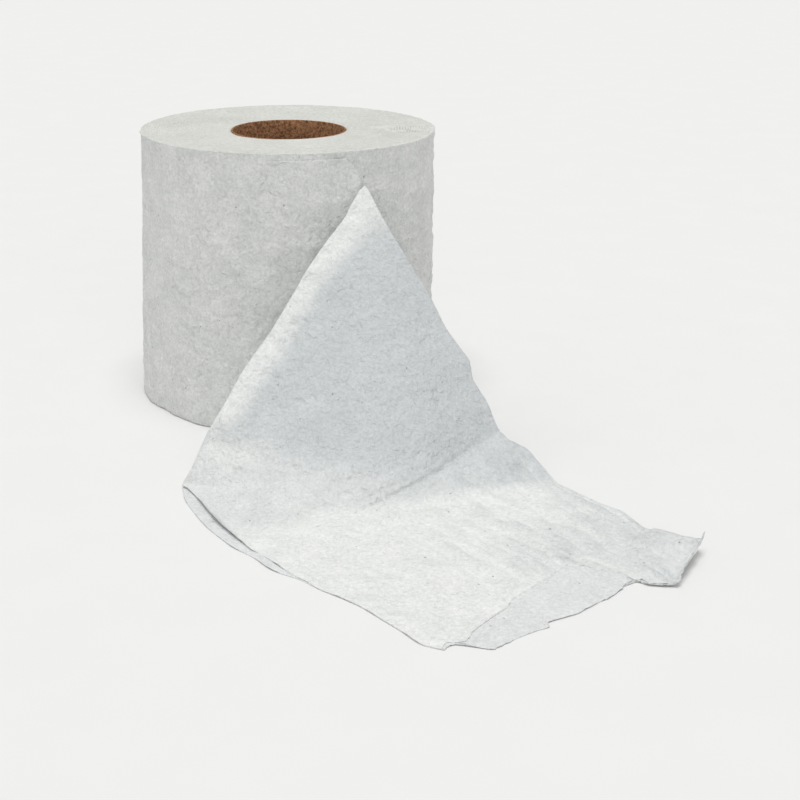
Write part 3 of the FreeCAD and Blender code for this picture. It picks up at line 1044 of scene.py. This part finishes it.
def build_under_ply():
    """The lower ply, which shows at the lower edge and past the upper ply's torn end."""
    patch = Patchwork()
    down, across, start = 130, 110, 7.05
    columns = [LAST_COLUMN * j / across for j in range(across + 1)]
    numbers = [start + (LAST_ROW - start) * i / down for i in range(down + 1)]
    sheet = grid_of(numbers, columns)
    normals = normals_of(sheet)
    for i, (line, row) in enumerate(zip(sheet, numbers)):
        for j, (point, column) in enumerate(zip(line, columns)):
            rise = 0.9 * crumple(row, column, point) + crease_height(row, column)
            # A ridge near the torn end
            rise += 0.9 * MM * bell(row, 13.72 - 0.25 * column, 0.05) * bell(column, 0.85, 0.4)
            moved = point + normals[i][j] * (rise - PLY_GAP) + corner_curl(row, column)
            if i == down:
                away = Vector((0.66, -0.75, 0)) * 0.35 * MM
                moved += away * ripple((0, column * COLUMN_WIDTH, 0), 2.2 * MM, 6.0)
            moved.z = max(moved.z, 0.1 * MM)
            line[j] = moved
    web = [[(row * ROW_LENGTH, c * COLUMN_WIDTH) for c in columns] for row in numbers]
    patch.add(sheet, web)
    piece = patch.make("tail_under_ply", [UNDER_TISSUE], weld=0.02 * MM)
    return thicken(piece, "one_ply", LOWER_PLY)


# Perforation
# The row at which the sheet is perforated, for columns 0, 0.25, 0.5 and so on
PERFORATION = [
    9.42, 9.38, 9.33, 9.28, 9.25, 9.16, 9.05, 8.97, 8.9,
    8.86, 8.86, 8.9, 8.96, 9.0, 8.99, 8.97, 9.0,
]


def perforation_row(column):
    """The row of the perforation at a column."""
    return straight(PERFORATION, column * 4)


def perforation_tree():
    """Short slits set out evenly along a curve: the perforation between two sheets."""
    sizes = {"Spacing": 3.3 * MM, "Slit Length": 1.9 * MM, "Slit Radius": 0.09 * MM}
    tree, given = new_tree("perforation", sizes)
    line = add_node(tree, "GeometryNodeMeshToCurve", {"Mesh": given["Geometry"]})
    sockets = {"Curve": line, "Length": given["Spacing"]}
    points = add_node(tree, "GeometryNodeCurveToPoints", sockets, mode="LENGTH")
    slit = add_node(
        tree,
        "GeometryNodeMeshCylinder",
        {
            "Vertices": 6,
            "Side Segments": 1,
            "Fill Segments": 1,
            "Radius": given["Slit Radius"],
            "Depth": given["Slit Length"],
        },
    )
    sockets = {"Points": points, "Instance": slit, "Rotation": points.outputs["Rotation"]}
    slits = add_node(tree, "GeometryNodeInstanceOnPoints", sockets)
    end_tree(tree, slits, given["Material"])
    return tree


def build_perforation():
    """Slits along the perforation, on the upper face of the tail, where they show."""
    line, first, last, steps = [], 1.5, 3.97, 160
    for j in range(steps + 1):
        column = first + (last - first) * j / steps
        row = perforation_row(column)
        here = sheet_point(TailRow(row), column)
        next_row = sheet_point(TailRow(row + 0.05), column)
        next_column = sheet_point(TailRow(row), column + 0.02)
        normal = (next_row - here).cross(next_column - here).normalized()
        rise = crumple(row, column, here) + crease_height(row, column) - SLIT_DIP
        place = here + normal * (rise + TOP_PLY / 2 - SLIT_SINK)
        place.z = max(place.z, LOWEST + TOP_PLY / 2 - SLIT_SINK)
        line.append(place)
    guide = bpy.data.meshes.new("perforation_line")
    guide.from_pydata([tuple(p) for p in line], [(k, k + 1) for k in range(len(line) - 1)], [])
    return grow("perforation", perforation_tree(), {"Material": SLIT_SHADE}, guide)


# Assembly
wound = build_wound_roll()
turns = winding_tree()
given = {"Face Height": ROLL_HEIGHT + 0.06 * MM, "Seed": 3.0, "Material": CUT_ENDS}
top_turns = grow("top_turns", turns, given)
given = {"Face Height": 1.0 * MM, "Dish": 0.0, "Seed": 8.0, "Material": CUT_ENDS}
base_turns = grow("base_turns", turns, given)
core = build_core()
tail = build_tail_sheet()
under_ply = build_under_ply()
perforation = build_perforation()

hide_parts("paper_web")
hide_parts("core_tube")
for piece in (wound, top_turns, base_turns, tail, under_ply, perforation, core):
    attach(piece, "root")


# Floor, light and camera
def build_floor():
    """A plain pale floor, 10 m each way."""
    floor_material = plain_material("pale_floor", ("eeeeed", "f1f1f0"), 0.9, 0.0)
    half = 5.0
    corners = [[(-half, -half), (half, -half)], [(-half, half), (half, half)]]
    patch = Patchwork()
    patch.add([[Vector((x, y, 0)) for x, y in row] for row in corners], corners)
    return patch.make("floor", [floor_material])


build_floor()


def add_sun(name, direction, strength, softness):
    """Light from a direction, given as the vector towards the lamp."""
    data = bpy.data.lights.new(name, "SUN")
    data.energy = strength
    data.angle = math.radians(softness)
    lamp = put_in_scene(name, data)
    lamp.rotation_euler = (Vector(direction) * -1).to_track_quat("-Z", "Y").to_euler()


world = bpy.data.worlds.new("studio")
bpy.context.scene.world = world
world.use_nodes = True
background = world.node_tree.nodes["Background"].inputs
background["Color"].default_value = linear("fbfbfa")
background["Strength"].default_value = 0.54
add_sun("overhead_softbox", (-0.05, -0.12, 1.0), 1.44, 30)
add_sun("front_fill", (0.1, -1.0, 0.45), 0.25, 40)
bpy.context.scene.view_settings.view_transform = "Standard"

CAMERA_PLACE = (0.0, -569.6 * MM, 195.7 * MM)
CAMERA_TILT = 15.85
CAMERA_TURN = 2.02
FOCAL_PIXELS = 1518.8
SHIFT_PIXELS = (60.0, -100.0)
PICTURE = 800
camera_data = bpy.data.cameras.new("camera")
camera_data.sensor_width = 36.0
camera_data.lens = FOCAL_PIXELS / PICTURE * camera_data.sensor_width
camera_data.shift_x = SHIFT_PIXELS[0] / PICTURE
camera_data.shift_y = SHIFT_PIXELS[1] / PICTURE
camera_data.clip_start = 0.01
camera = put_in_scene("camera", camera_data)
camera.location = CAMERA_PLACE
camera.rotation_euler = (math.radians(90 - CAMERA_TILT), 0, math.radians(-CAMERA_TURN))
bpy.context.scene.camera = camera
